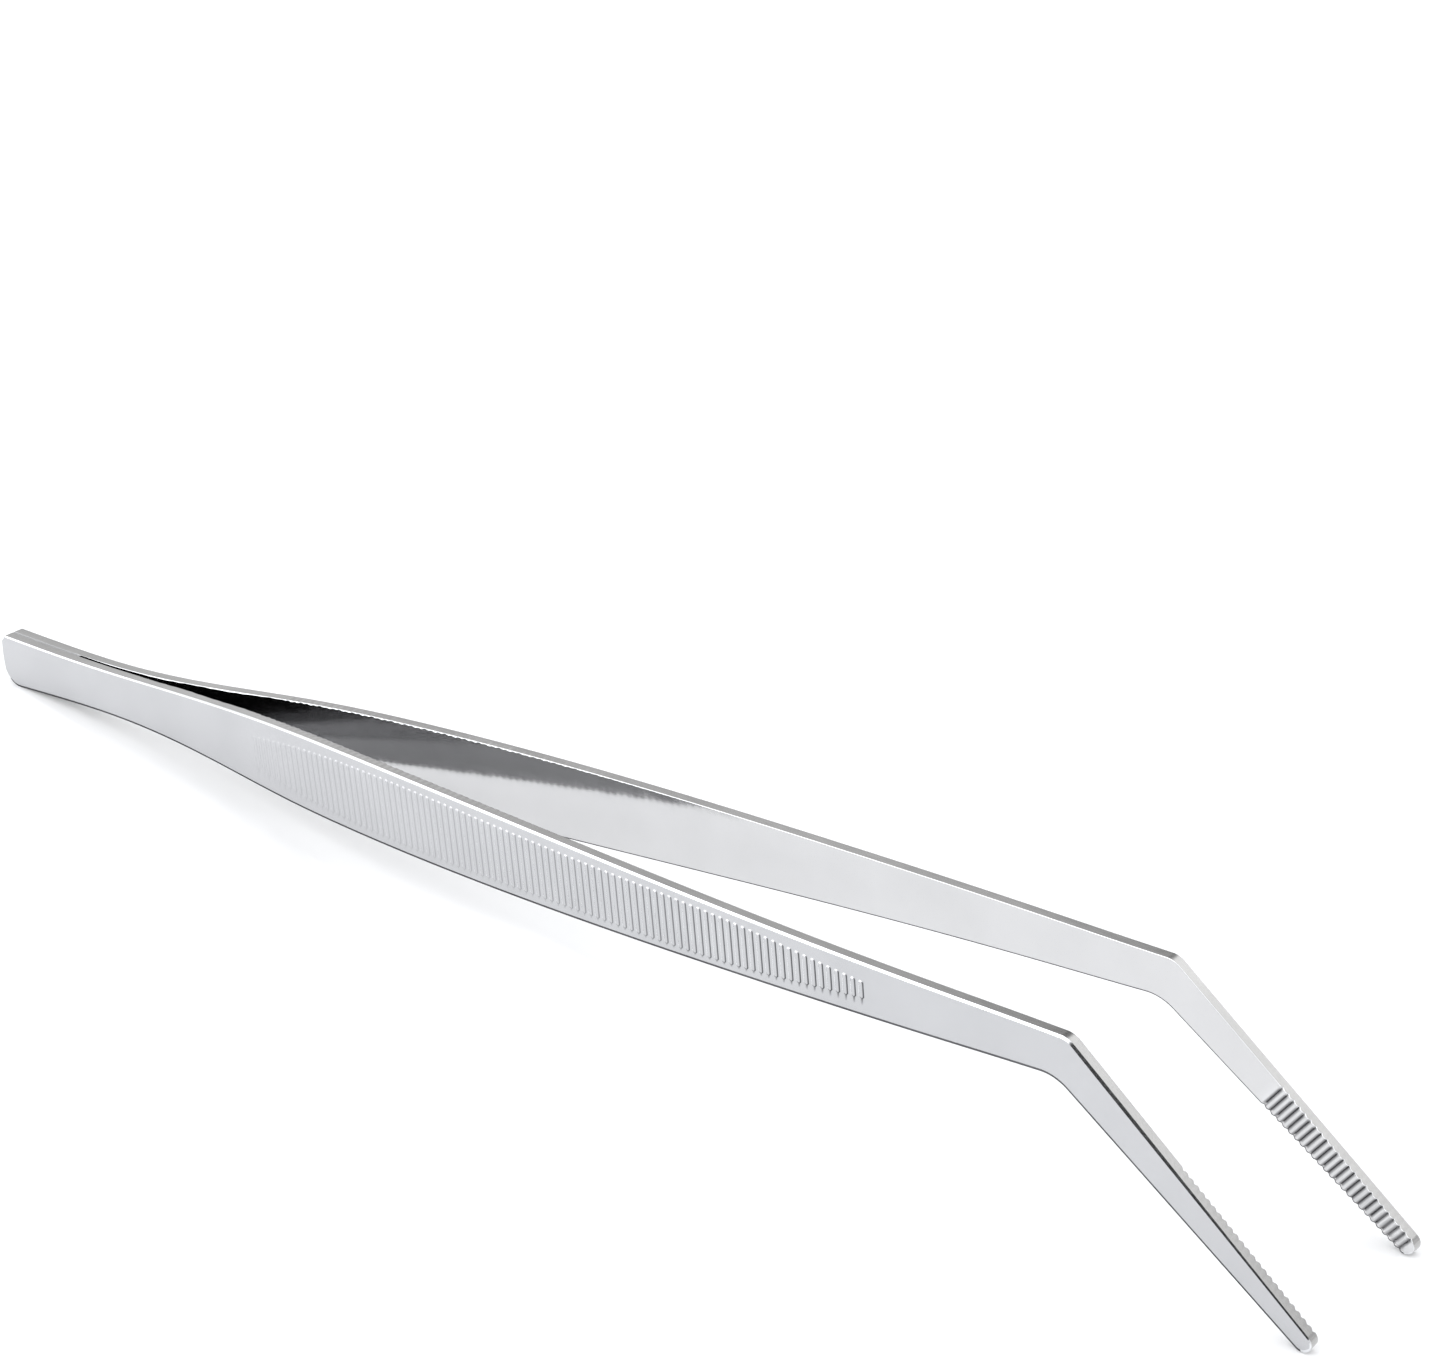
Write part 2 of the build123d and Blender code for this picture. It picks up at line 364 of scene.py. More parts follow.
def crown_u(v):
    """The slightly bulged end face of the butt."""
    top = BUTT_HALF_WIDTH - BUTT_CHAMFER
    middle, reach = (top - BUTT_HALF_WIDTH) / 2, (top + BUTT_HALF_WIDTH) / 2
    return -BUTT_CROWN * (1 - ((v - middle) / reach) ** 2)


def arc_points(centre, radius, angles):
    """Points of a round at given angles from the first axis."""
    return centre + radius * np.stack([np.cos(angles), np.sin(angles)], axis=-1)


def straight_stations():
    """Stations along u with the same place on both edges, finer where the bars are."""
    plain = np.linspace(BUTT_RADIUS + ROUND_MARGIN, RIB_START - RIB_PITCH, TAIL_STEPS)
    offsets = [RIB_RADIUS * step for step in RIB_STEPS] + [RIB_PITCH / 2]
    bars = [RIB_START + RIB_PITCH * k + offset for k in range(RIB_COUNT) for offset in offsets]
    return np.concatenate([plain, [RIB_START - RIB_PITCH / 2], bars])


def serration_stations():
    """Stations along the jaw, on every crest and every groove of the serrations."""
    half = TOOTH_MOUTH / 2
    end = JAW_LENGTH + TIP_RADIUS - TOOTH_END_MARGIN
    middles = [end - (k + 0.5) * TOOTH_PITCH for k in reversed(range(TOOTH_COUNT))]
    offsets = (-half, -half / 2, 0, half / 2, half)
    stations = [middle + offset for middle in middles for offset in offsets]
    return np.array([along for along in stations if along < JAW_LENGTH])


def jaw_edge(along, side):
    """Edge of the jaw, side +1 above and -1 below, tapering to the round of the tip."""
    start, finish = -side * CORNER, JAW_LENGTH + TIP_RADIUS * math.sin(TAPER)
    narrow = TIP_RADIUS * math.cos(TAPER)
    share = (along - start) / (finish - start)
    return jaw_point(along, side * (JAW_HALF_WIDTH + (narrow - JAW_HALF_WIDTH) * share))


def butt_run(side):
    """Start of a long edge: below, half of the large round, and above as many points over it."""
    angles = np.linspace(1.25 * math.pi, 1.5 * math.pi, ROUND_STEPS)
    lower_round = arc_points(butt_corner(), BUTT_RADIUS, angles)
    if side < 0:
        return lower_round
    u = np.linspace(BUTT_CHAMFER, lower_round[-1, 0], ROUND_STEPS)
    return np.stack([u, upper_edge(u)], axis=-1)


def bend_run(side):
    """The round of the bend on one long edge."""
    edge = upper_edge if side > 0 else lower_edge
    radius = BEND_TOP_RADIUS if side > 0 else BEND_BOTTOM_RADIUS
    corner = np.array([BEND_U + side * CORNER, side * JAW_HALF_WIDTH])
    way_in = np.array([1.0, side * (edge(corner[0]) - edge(corner[0] - 1))])
    way_out = jaw_edge(np.array(1.0), side) - jaw_edge(np.array(0.0), side)
    return fillet_arc(corner, way_in, way_out, radius, BEND_STEPS)


def tip_run(side):
    """End of a long edge on the round of the tip, with a point at the foot of the last groove."""
    foot = TIP_RADIUS - TOOTH_END_MARGIN - (TOOTH_PITCH - TOOTH_MOUTH) / 2
    foot_angle = math.acos(foot / TIP_RADIUS)
    angles = [math.pi / 2 - TAPER, foot_angle, (foot_angle + TIP_CORNER) / 2, TIP_CORNER]
    local = arc_points(JAW_END, TIP_RADIUS, side * np.array(angles))
    return jaw_point(local[:, 0], local[:, 1])


def edge_path(side):
    """One long edge from the butt to the tip, side +1 above and -1 below."""
    edge = upper_edge if side > 0 else lower_edge
    u = straight_stations()
    bend = bend_run(side)
    shank_u = np.linspace(u[-1], bend[0, 0], SHANK_STEPS)[1:-1]
    jaw_start = (bend[-1] - BEND_POINT) @ JAW_DIR
    teeth = serration_stations()
    plain_jaw = np.linspace(jaw_start, teeth[0], SHANK_STEPS)[1:-1]
    return np.concatenate([
        butt_run(side),
        np.stack([u, side * edge(u)], axis=-1),
        np.stack([shank_u, side * edge(shank_u)], axis=-1),
        bend,
        jaw_edge(plain_jaw, side),
        jaw_edge(teeth, side),
        tip_run(side),
    ])


def row_shares(u, half):
    """Heights of the grid's rows as shares of the half width, crowded where the bars end."""
    end = rib_end(u)
    crowded = [end - depth for depth in ROW_DEPTHS]
    rows = [0 * u, crowded[0] / 2] + crowded + [(end + half) / 2, half]
    upper = np.stack(rows, axis=-1) / half[..., None]
    return np.concatenate([-upper[..., :0:-1], upper], axis=-1)


def butt_end():
    """The butt's end from the middle of its lower round up to the top of its chamfer."""
    angles = np.linspace(1.25 * math.pi, math.pi, ROUND_STEPS)
    lower = arc_points(butt_corner(), BUTT_RADIUS, angles)
    top = BUTT_HALF_WIDTH - BUTT_CHAMFER
    v = np.linspace(lower[-1, 1], top, ROWS - ROUND_STEPS - CHAMFER_ROWS + 1)[1:]
    crown = np.stack([crown_u(v), v], axis=-1)
    chamfer = np.linspace([0, top], [BUTT_CHAMFER, BUTT_HALF_WIDTH], CHAMFER_ROWS + 1)[1:]
    return np.concatenate([lower, crown, chamfer])


def tip_end():
    """The middle of the tip's round, from below to above."""
    local = arc_points(JAW_END, TIP_RADIUS, np.linspace(-TIP_CORNER, TIP_CORNER, ROWS))
    return jaw_point(local[:, 0], local[:, 1])


def outline_loop():
    """The closed outline, counter-clockwise from the butt's lower corner, its inward normals,
    scaled so that every side moves in by the same distance, and how many of its points are on
    one long edge."""
    bottom, top, end, tip = edge_path(-1), edge_path(1), butt_end(), tip_end()
    loop = np.concatenate([bottom, tip[1:-1], top[::-1], end[-2:0:-1]])
    ahead = np.roll(loop, -1, axis=0) - loop
    ahead = ahead / np.hypot(*ahead.T)[:, None]
    left = np.stack([-ahead[:, 1], ahead[:, 0]], axis=-1)
    before = np.roll(left, 1, axis=0)
    inward = (left + before) / (1 + np.sum(left * before, axis=1))[:, None]
    return loop, inward, len(bottom)


def face_grid(loop, columns):
    """Grid of points over the region inside a loop, columns along the blade by rows across it."""
    bottom = loop[:columns]
    tip = loop[columns - 1:columns - 1 + ROWS]
    top = loop[columns - 2 + ROWS:2 * columns - 2 + ROWS][::-1]
    end = np.concatenate([loop[:1], loop[:-ROWS:-1]])
    middle, half = (bottom + top) / 2, (top - bottom) / 2
    shares = row_shares(middle[:, 0], np.hypot(*half.T))
    grid = middle[:, None] + shares[..., None] * half[:, None]
    from_butt = middle[:, 0] - middle[0, 0]
    from_tip = np.hypot(*(middle - middle[-1]).T)
    near_butt = np.clip(1 - from_butt / END_FADE, 0, 1) ** 2
    near_tip = np.clip(1 - from_tip / END_FADE, 0, 1) ** 2
    butt_shift, tip_shift = end - grid[0], tip - grid[-1]
    return grid + near_butt[:, None, None] * butt_shift + near_tip[:, None, None] * tip_shift


# ---------------------------------------------------------------- the rim's section
def bevel(leg, slopes):
    """Bevel of one facet to each slope, as (inset, drop) pairs from its face to the rim."""
    slopes = np.radians(slopes)
    across = np.concatenate([[0], np.cumsum(np.cos(slopes))])
    down = np.concatenate([[0], np.cumsum(np.sin(slopes))])
    scale = leg / down[-1]
    insets, drops = (across[-1] - across) * scale, down * scale
    return list(zip(insets.tolist(), drops.tolist()))


# zones of a blade's surface, in the order of its materials
OUTER, OUTER_EDGE, RIM, INNER_EDGE, INNER, LOWER_EDGE = range(6)


def rim_sections():
    """Steps round the rim from the outer face to the inner one, as (inset, distance from the
    outer face, distance from the inner face or None, zone of the strip that follows)."""
    outer = bevel(OUTER_BEVEL, OUTER_BEVEL_SLOPES)
    steps = [(inset, drop, None, OUTER_EDGE) for inset, drop in outer[:-1]]
    steps.append((0.0, OUTER_BEVEL, None, RIM))
    steps.append((RIM_MIDDLE[0] * RIM_LEAN, RIM_MIDDLE[1] * SHEET, None, RIM))
    inner = bevel(INNER_BEVEL, INNER_BEVEL_SLOPES)[::-1]
    steps += [(inset + RIM_LEAN, None, drop, INNER_EDGE) for inset, drop in inner[:-1]]
    steps.append((inner[-1][0] + RIM_LEAN, None, 0.0, INNER))
    return steps


def creased(u):
    """0 where the weld makes the two rims flush, 1 where each blade has its own inner edge."""
    return smooth_step(FLUSH_UNTIL, CREASED_FROM, u)


def facing_down(inward):
    """0 along the upper edge and the ends, 1 along the lower edge, whose inward normals rise."""
    return smooth_step(*LOWER_NORMALS, inward[:, 1])


def bevel_size(loop, inward):
    """Size of the outer bevel round the outline, into the face and down the rim, as shares of
    its size along the upper edge of the shank."""
    u = loop[:, 0]
    upper = BUTT_BEVEL + (OUTER_BEVEL - BUTT_BEVEL) * smooth_step(*BUTT_TO_SHANK, u)
    upper = upper + (JAW_BEVEL - OUTER_BEVEL) * smooth_step(*SHANK_TO_JAW, u)
    upper = upper + (TIP_BEVEL - JAW_BEVEL) * smooth_step(SHANK_TO_JAW[1], TIP_CENTRE[0], u)
    below = facing_down(inward)
    rise = upper + (LOWER_RISE - upper) * below
    drop = upper + (LOWER_DROP - upper) * below
    return rise / OUTER_BEVEL, drop / OUTER_BEVEL


def burr(u):
    """Size of the inner edge's bevel, which the coining leaves larger and uneven, as a share."""
    near_grip = smooth_step(*BURR_START, u) * (1 - smooth_step(*BURR_END, u))
    uneven = sum(size * np.sin(rate * u + phase) for size, rate, phase in BURR_WAVES)
    return 1 + near_grip * (BURR + uneven)


def rim_loops(loop, inward):
    """The rim's loops of (u, v) points and their w, outermost face first.  The burr is only on
    the upper edge."""
    below = facing_down(inward)
    free = creased(loop[:, 0]) * (burr(loop[:, 0]) * (1 - below) + below)
    spread_in = (1 + INNER_EASING * below) * np.maximum(free, LEAST_CREASE)
    rise, drop = bevel_size(loop, inward)
    loops = []
    for inset, from_outer, from_inner, _ in rim_sections():
        if from_inner is not None:
            moved = loop + inward * (inset * spread_in)[:, None]
            w = inner_w(moved[:, 0]) + groove_depth(moved) + from_inner * free
        elif from_outer <= OUTER_BEVEL:
            moved = loop + inward * (inset * rise)[:, None]
            w = inner_w(moved[:, 0]) + SHEET - from_outer * drop
        else:
            moved = loop + inward * inset
            w = inner_w(moved[:, 0]) + SHEET - from_outer
        loops.append((moved, w))
    return loops


# ---------------------------------------------------------------- meshes
def grid_faces(columns, rows, first):
    """Faces of a grid of points whose first one has a given index."""
    index = first + np.arange(columns * rows).reshape(columns, rows)
    corners = [index[:-1, :-1], index[1:, :-1], index[1:, 1:], index[:-1, 1:]]
    return np.stack([corner.ravel() for corner in corners], axis=-1)


def strip_faces(first, second, count):
    """Faces between two closed loops, from the index of each loop's first point."""
    here = np.arange(count)
    after = np.roll(here, -1)
    return np.stack([first + here, first + after, second + after, second + here], axis=-1)


def rim_strips(first, count, columns):
    """Faces between the rim's neighbouring loops, and their zones.  Along the lower edge the
    bevels on both sides of the ground rim have a dark material of their own: painted shade."""
    below = np.arange(count) < columns
    faces, zones = [], []
    for k, (*_, zone) in enumerate(rim_sections()[:-1]):
        start = first + k * count
        faces.append(strip_faces(start, start + count, count))
        zones.append(np.where(below & (zone != RIM), LOWER_EDGE, zone))
    return faces, zones


def blade_mesh(name, mirror):
    """One whole blade in a single skin: both faces with their relief, and the rim round them."""
    loop, inward, columns = outline_loop()
    loops = rim_loops(loop, inward)
    outer = face_grid(loops[0][0], columns)
    inner = face_grid(loops[-1][0], columns)
    outer_points = to_frame(outer, inner_w(outer[..., 0]) + SHEET + rib_height(outer))
    inner_points = to_frame(inner, inner_w(inner[..., 0]) + groove_depth(inner) + ripple(inner))
    points = [outer_points.reshape(-1, 3), inner_points.reshape(-1, 3)]
    points += [to_frame(moved, w) for moved, w in loops]
    # painted light at each point: painted highlight and shade on the bars and serrations, none on
    # the rim
    plain = np.full(len(loops) * len(loop), PLAIN_LIGHT_LEVEL)
    painted_light = [rib_painted_light(outer).ravel(), groove_painted_light(inner).ravel(), plain]
    faces = [grid_faces(columns, ROWS, 0), grid_faces(columns, ROWS, columns * ROWS)]
    zones = [np.full(len(group), zone) for group, zone in zip(faces, (OUTER, INNER))]
    strips, strip_zones = rim_strips(2 * columns * ROWS, len(loop), columns)
    points = np.concatenate(points) * (1, mirror, 1)
    faces, zones = np.concatenate(faces + strips), np.concatenate(zones + strip_zones)
    return skin(name, points, faces, zones, np.concatenate(painted_light))


def skin(name, points, faces, zones, painted_light):
    """A closed mesh from grids that share their borders, sharp where one zone meets another."""
    mesh = bpy.data.meshes.new(name)
    mesh.from_pydata(points.tolist(), [], faces.tolist())
    attribute = mesh.attributes.new("zone", "INT", "FACE")
    attribute.data.foreach_set("value", zones.astype(np.int32))
    # each point's painted light: painted highlight below the plain level, painted shade above it
    attribute = mesh.attributes.new("painted_light", "FLOAT", "POINT")
    attribute.data.foreach_set("value", painted_light.astype(np.float32))
    work = bmesh.new()
    work.from_mesh(mesh)
    bmesh.ops.remove_doubles(work, verts=work.verts, dist=MERGE_DISTANCE * MM)
    bmesh.ops.dissolve_degenerate(work, edges=work.edges, dist=SHORTEST_EDGE * MM)
    bmesh.ops.recalc_face_normals(work, faces=work.faces)
    layer = work.faces.layers.int["zone"]
    for face in work.faces:
        face.smooth = True
        face.material_index = face[layer]
    work.to_mesh(mesh)
    mesh.set_sharp_from_angle(angle=SHARP_ANGLE)
    for edge in work.edges:
        if len({face[layer] for face in edge.link_faces}) > 1:
            mesh.edges[edge.index].use_edge_sharp = True
    work.free()
    mesh.attributes.remove(mesh.attributes["zone"])
    return mesh


def add_object(mesh):
    """An object in the scene that shows a mesh and has its name."""
    piece = bpy.data.objects.new(mesh.name, mesh)
    bpy.context.scene.collection.objects.link(piece)
    return piece


# ---------------------------------------------------------------- weld beads
def resample(path, spacing):
    """Points evenly spaced along a polyline, and their distances from its start."""
    run = np.concatenate([[0], np.cumsum(np.hypot(*np.diff(path, axis=0).T))])
    at = np.linspace(0, run[-1], int(run[-1] / spacing))
    return np.stack([np.interp(at, run, path[:, 0]), np.interp(at, run, path[:, 1])], axis=-1), at


def bead_rings(path, phase):
    """Rings of points round a bead, one at each station along its path, with the faint scales
    that are left after it is ground nearly flush."""
    centre, run = resample(path, BEAD_SPACING)
    ahead = np.gradient(centre, axis=0)
    ahead = ahead / np.hypot(*ahead.T)[:, None]
    inward = np.stack([-ahead[:, 1], ahead[:, 0]], axis=-1)
    swell = SHALLOWEST_SCALE + (1 - SHALLOWEST_SCALE) * np.sin(SWELL_RATE * run + phase) ** 2
    depths = []
    for share in BEAD_SECTION:
        wave = (1 + np.cos(SCALE_RATE * run + phase + SCALE_BEND * share * share)) / 2
        depths.append(BEAD_SINK + BEAD_EDGE_SINK * share ** 4 + SCALE_DEPTH * wave * swell)
    depths += [np.full(len(run), WELD_DEPTH)] * 2
    half = WELD_GAP / 2 + BEAD_OVERLAP
    rings = []
    for depth, share in zip(depths, BEAD_SECTION + (1.0, -1.0)):
        rings.append(to_frame(centre + inward * depth[:, None], np.full(len(run), share * half)))
    return np.stack(rings, axis=1)


def bead_mesh(name, path, phase):
    """Weld metal along part of the outline, filling the gap between the tails."""
    rings = bead_rings(path, phase)
    count, around = rings.shape[:2]
    index = np.arange(count * around).reshape(count, around)
    after = np.roll(index, -1, axis=1)
    sides = np.stack([index[:-1], index[1:], after[1:], after[:-1]], axis=-1).reshape(-1, 4)
    faces = sides.tolist() + [index[0].tolist(), index[-1][::-1].tolist()]
    mesh = bpy.data.meshes.new(name)
    mesh.from_pydata(rings.reshape(-1, 3).tolist(), [], faces)
    work = bmesh.new()
    work.from_mesh(mesh)
    bmesh.ops.recalc_face_normals(work, faces=work.faces)
    for face in work.faces:
        face.smooth = True
    work.to_mesh(mesh)
    work.free()
    mesh.set_sharp_from_angle(angle=SHARP_ANGLE)
    return mesh


def weld_paths():
    """The outline's three stretches that are welded, each counter-clockwise round the outline."""
    bottom, top, end = edge_path(-1), edge_path(1), butt_end()
    lower = np.concatenate([end[ROUND_STEPS - 1:0:-1], bottom[bottom[:, 0] < WELD_LENGTH]])
    upper = np.concatenate([top[top[:, 0] < WELD_LENGTH][::-1], end[-2:-3:-1]])
    return {"weld_top": upper, "weld_bottom": lower, "weld_end": end[ROUND_STEPS - 2:-1][::-1]}


# ---------------------------------------------------------------- materials
NOISE_SPAN = (0.3, 0.7)    # nearly all of a noise lies between these
BROAD_SCALE = 90.0         # of the noise that clouds a finish's colour, per metre
BROAD_DETAIL = 3.0
# colours of the painted highlight and of the painted shade on the bars and serrations
PAINTED_HIGHLIGHT_COLOUR = (0.76, 0.765, 0.78, 1)
PAINTED_SHADE_COLOUR = (0.04, 0.04, 0.043, 1)


def new_material(name):
    """A material, its nodes, and its one shader."""
    material = bpy.data.materials.new(name)
    material.use_nodes = True
    tree = material.node_tree
    return material, tree, tree.nodes["Principled BSDF"]


def grain(tree, stretch, scale, detail=4.0):
    """Noise over the object's own coordinates, stretched along each axis."""
    place = tree.nodes.new("ShaderNodeTexCoord")
    mapping = tree.nodes.new("ShaderNodeMapping")
    mapping.inputs["Scale"].default_value = stretch
    noise = tree.nodes.new("ShaderNodeTexNoise")
    noise.inputs["Scale"].default_value = scale
    noise.inputs["Detail"].default_value = detail
    tree.links.new(place.outputs["Object"], mapping.inputs["Vector"])
    tree.links.new(mapping.outputs["Vector"], noise.inputs["Vector"])
    return noise.outputs["Fac"]


def ramp(tree, value, low, high):
    """Colour that varies between two colours with a noise."""
    node = tree.nodes.new("ShaderNodeValToRGB")
    for element, place, colour in zip(node.color_ramp.elements, NOISE_SPAN, (low, high)):
        element.position = place
        element.color = (*colour, 1)
    tree.links.new(value, node.inputs["Fac"])
    return node.outputs["Color"]


def map_range(tree, value, source, target=(0.0, 1.0)):
    """A socket's value carried from one range to another, and held at the ends."""
    node = tree.nodes.new("ShaderNodeMapRange")
    sockets = ("From Min", "From Max", "To Min", "To Max")
    for socket, limit in zip(sockets, (*source, *target)):
        node.inputs[socket].default_value = limit
    tree.links.new(value, node.inputs["Value"])
    return node.outputs["Result"]


def bump(tree, height, distance):
    """Shading normal of a surface with a fine relief, whose height is in metres."""
    node = tree.nodes.new("ShaderNodeBump")
    node.inputs["Distance"].default_value = distance
    tree.links.new(height, node.inputs["Height"])
    return node.outputs["Normal"]


def mixed(tree, share, first, second):
    """Mix of two colours, each a socket or a plain colour."""
    node = tree.nodes.new("ShaderNodeMix")
    node.data_type = "RGBA"
    factor, first_colour, second_colour = node.inputs[0], node.inputs[6], node.inputs[7]
    tree.links.new(share, factor)
    for value, socket in ((first, first_colour), (second, second_colour)):
        if isinstance(value, tuple):
            socket.default_value = value
        else:
            tree.links.new(value, socket)
    return node.outputs[2]


def with_painted_light(tree, colour):
    """A colour, brighter where the mesh has painted highlight and darker where it has painted shade.
    """
    state = tree.nodes.new("ShaderNodeAttribute")
    state.attribute_name = "painted_light"
    # shares towards the painted highlight colour and towards the painted shade colour
    past_highlight = map_range(tree, state.outputs["Fac"], (0.0, PLAIN_LIGHT_LEVEL))
    painted_shade = map_range(tree, state.outputs["Fac"], (PLAIN_LIGHT_LEVEL, 1.0))
    return mixed(tree, painted_shade, mixed(tree, past_highlight, PAINTED_HIGHLIGHT_COLOUR, colour), PAINTED_SHADE_COLOUR)


def steel(name, colours, roughness, stretch, scale, relief, has_painted_light=False, edge_tint=1.0):
    """Bare steel: its colour varies broadly, and its roughness and relief follow a fine grain
    that has the finish's own direction."""
    material, tree, shader = new_material(name)
    shader.inputs["Metallic"].default_value = 1.0
    shader.inputs["Specular Tint"].default_value = (edge_tint, edge_tint, edge_tint, 1)
    fine = grain(tree, stretch, scale)
    broad = grain(tree, (1, 1, 1), BROAD_SCALE, BROAD_DETAIL)
    colour = ramp(tree, broad, *colours)
    # painted highlight and painted shade, carried on the mesh in a point attribute
    if has_painted_light:
        colour = with_painted_light(tree, colour)
    tree.links.new(colour, shader.inputs["Base Color"])
    tree.links.new(map_range(tree, fine, NOISE_SPAN, roughness), shader.inputs["Roughness"])
    tree.links.new(bump(tree, fine, relief), shader.inputs["Normal"])
    return material


def blade_materials():
    """The finishes of each blade, in the order of its zones.  The right blade's inner face has a
    darker copy of the left one's finish: painted shade, so its reflection in the left blade is dark."""
    face = steel("polished_face", ((0.475, 0.478, 0.49), (0.505, 0.508, 0.52)),
                 roughness=(0.19, 0.24), stretch=(0.25, 1, 1), scale=1900.0,
                 relief=0.4 * MICRON, has_painted_light=True)
    edge = steel("buffed_edge", ((0.70, 0.71, 0.73), (0.75, 0.76, 0.77)),
                 roughness=(0.14, 0.20), stretch=(0.1, 1, 1), scale=2600.0,
                 relief=0.5 * MICRON)
    rim = steel("ground_rim", ((0.41, 0.407, 0.402), (0.47, 0.466, 0.46)),
                roughness=(0.15, 0.24), stretch=(0.03, 1, 1), scale=5200.0,
                relief=3 * MICRON)
    inner = steel("polished_inside", ((0.565, 0.565, 0.57), (0.595, 0.595, 0.60)),
                  roughness=(0.08, 0.12), stretch=(0.25, 1, 1), scale=1500.0,
                  relief=0.4 * MICRON, has_painted_light=True)
    # dark steel on the lower edge's bevels: painted shade, standing for the reflection of the shaded
    # floor under the blade
    lower = steel("lower_edge", ((0.12, 0.12, 0.125), (0.17, 0.17, 0.175)),
                  roughness=(0.26, 0.36), stretch=(0.1, 1, 1), scale=2600.0,
                  relief=1 * MICRON, edge_tint=0.3)
    # a darker copy of the inner finish for the right blade: painted shade
    shaded_inner = steel("inside_painted_shade", ((0.32, 0.32, 0.325), (0.35, 0.35, 0.355)),
                   roughness=(0.08, 0.12), stretch=(0.25, 1, 1), scale=1500.0,
                   relief=0.4 * MICRON, has_painted_light=True)
    return {"left": (face, edge, rim, edge, inner, lower),
            "right": (face, edge, rim, edge, shaded_inner, lower)}


def weld_material():
    """Ground weld metal, about as bright as the rims and a little cooler."""
    return steel("weld_metal", ((0.41, 0.412, 0.418), (0.46, 0.462, 0.468)),
                 roughness=(0.20, 0.28), stretch=(0.2, 1, 1), scale=3200.0, relief=3 * MICRON)


# ---------------------------------------------------------------- the object's pieces
finishes = blade_materials()
weld_finish = weld_material()

for side, mirror in (("left", 1), ("right", -1)):
    blade = add_object(blade_mesh(f"{side}_spring_blade", mirror))
    for material in finishes[side]:
        blade.data.materials.append(material)
    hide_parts(f"{side}_tail", f"{side}_arm")
    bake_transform(blade)

for number, (node, path) in enumerate(weld_paths().items()):
    bead = add_object(bead_mesh(f"{node}_bead", path, BEAD_PHASE * number))
    bead.data.materials.append(weld_finish)
    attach(bead, "butt")
    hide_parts(node)


# ---------------------------------------------------------------- stage, light and camera
FLOOR_HALF = 6.0           # metres, as all sizes of the stage
FLOOR_GAP = 0.0001         # the floor lies this far below the tool
FLOOR_COLOUR = (0.80, 0.804, 0.812, 1)

# brightness of the surroundings at heights from the horizon, 0, to straight overhead, 1
SKY = [(0.0, 0.85), (0.27, 1.0), (0.34, 0.78), (0.49, 0.68), (0.56, 1.85), (1.0, 1.5)]
SKY_TINT = (0.985, 0.99, 1.0)
# round patches: the way to the middle, the cosines at the edge and at the core, and the level
# inside, which multiplies the surroundings for a dark patch and is added to them for a bright one
DARK_PATCHES = [((0.43, -0.715, 0.55), 0.925, 0.975, 0.02),
                ((-0.30, 0.80, 0.52), 0.955, 0.985, 0.15)]
BRIGHT_PATCHES = [((-0.62, -0.72, 0.30), 0.78, 0.94, 1.8)]

CAMERA_PLACE = (0.276177, -0.289642, 0.247038)
CAMERA_TURN = (62.962, 0.123, 40.443)  # degrees
LENS = 77.4                # millimetres, on a sensor 36 mm wide


def floor():
    """A large pale sheet with a soft sheen under the tool."""
    mesh = bpy.data.meshes.new("floor")
    sides = ((-1, -1), (1, -1), (1, 1), (-1, 1))
    corners = [(x * FLOOR_HALF, y * FLOOR_HALF, 0) for x, y in sides]
    mesh.from_pydata(corners, [], [(0, 1, 2, 3)])
    sheet = add_object(mesh)
    sheet.location.z = cad_low.z - FLOOR_GAP
    material, tree, shader = new_material("white_acrylic")
    shader.inputs["Base Color"].default_value = FLOOR_COLOUR
    shader.inputs["Emission Color"].default_value = (1, 1, 1, 1)
    shader.inputs["Emission Strength"].default_value = 0.14
    shader.inputs["Roughness"].default_value = 0.12
    shader.inputs["IOR"].default_value = 1.40
    mesh.materials.append(material)


def lobe(tree, direction, patch, outside):
    """A round patch of the surroundings: its own level at the core, another beyond its edge."""
    towards, edge, core, inside = patch
    dot = tree.nodes.new("ShaderNodeVectorMath")
    dot.operation = "DOT_PRODUCT"
    dot.inputs[1].default_value = towards
    tree.links.new(direction, dot.inputs[0])
    return map_range(tree, dot.outputs["Value"], (edge, core), (outside, inside))


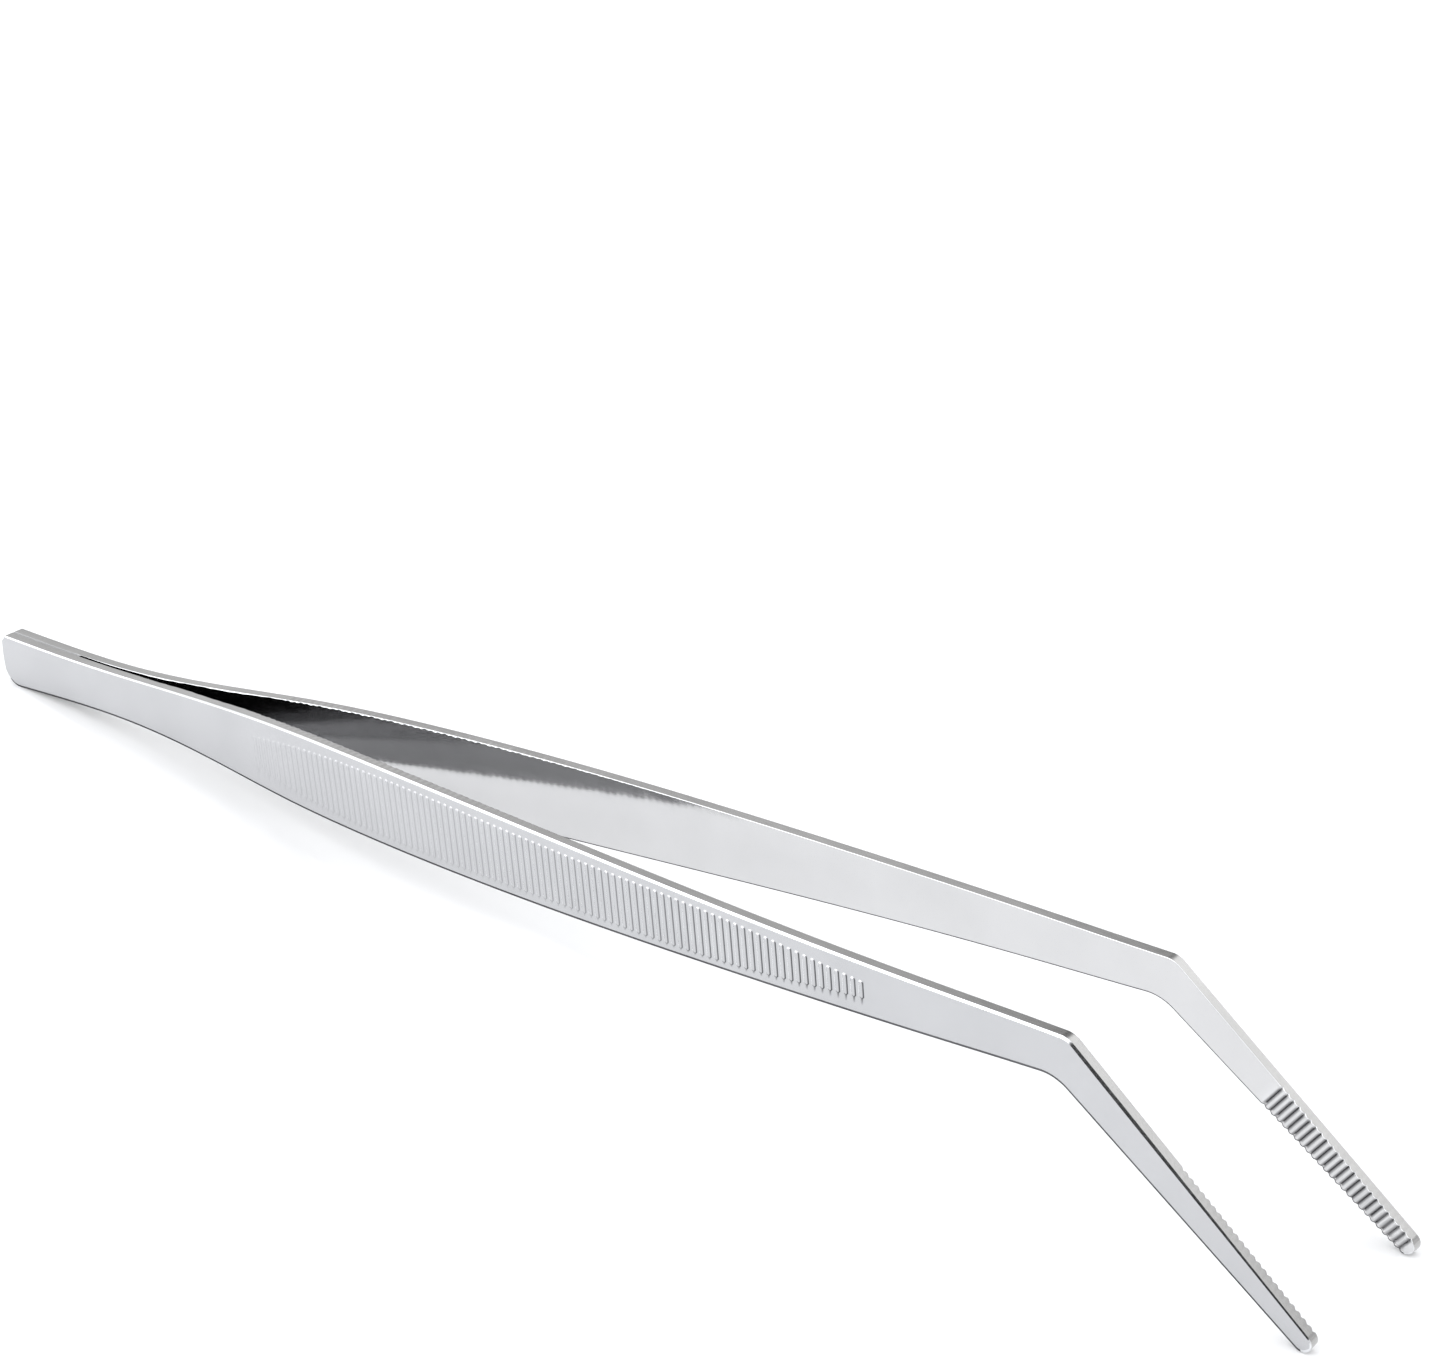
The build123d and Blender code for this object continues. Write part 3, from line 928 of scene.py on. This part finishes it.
def combined(tree, operation, first, second):
    """Sum or product of a socket and a second socket or number."""
    node = tree.nodes.new("ShaderNodeMath")
    node.operation = operation
    tree.links.new(first, node.inputs[0])
    if isinstance(second, float):
        node.inputs[1].default_value = second
    else:
        tree.links.new(second, node.inputs[1])
    return node.outputs["Value"]


def sky_ramp(tree, height):
    """Brightness of the surroundings by height, between 0 and 1, and its scale."""
    shade = tree.nodes.new("ShaderNodeValToRGB")
    elements = shade.color_ramp.elements
    top = max(level for _, level in SKY)
    while len(elements) < len(SKY):
        elements.new(0.5)
    for element, (place, level) in zip(elements, SKY):
        element.position = place
        element.color = (level / top, level / top, level / top, 1)
    tree.links.new(height, shade.inputs["Fac"])
    return shade.outputs["Color"], top


def sky():
    """Soft studio light: pale walls, a dimmer band above them and a bright ceiling, with unlit
    patches in front and behind and a bright patch in front of the butt."""
    world = bpy.data.worlds.new("studio")
    bpy.context.scene.world = world
    world.use_nodes = True
    tree = world.node_tree
    tree.nodes.clear()
    direction = tree.nodes.new("ShaderNodeTexCoord").outputs["Generated"]
    split = tree.nodes.new("ShaderNodeSeparateXYZ")
    tree.links.new(direction, split.inputs["Vector"])
    level = combined(tree, "MULTIPLY", *sky_ramp(tree, split.outputs["Z"]))
    for patch in DARK_PATCHES:
        level = combined(tree, "MULTIPLY", level, lobe(tree, direction, patch, 1.0))
    for patch in BRIGHT_PATCHES:
        level = combined(tree, "ADD", level, lobe(tree, direction, patch, 0.0))
    background = tree.nodes.new("ShaderNodeBackground")
    background.inputs["Color"].default_value = (*SKY_TINT, 1)
    output = tree.nodes.new("ShaderNodeOutputWorld")
    tree.links.new(level, background.inputs["Strength"])
    tree.links.new(background.outputs["Background"], output.inputs["Surface"])


def camera():
    """The viewpoint, in front of the tool and above it, on the side of the jaws."""
    data = bpy.data.cameras.new("camera")
    data.sensor_width = 36.0
    data.lens = LENS
    data.clip_start = 0.01
    data.clip_end = 50.0
    viewer = bpy.data.objects.new("camera", data)
    viewer.location = CAMERA_PLACE
    viewer.rotation_euler = tuple(math.radians(angle) for angle in CAMERA_TURN)
    bpy.context.scene.collection.objects.link(viewer)
    bpy.context.scene.camera = viewer


floor()
sky()
camera()
bpy.context.scene.view_settings.view_transform = "Standard"
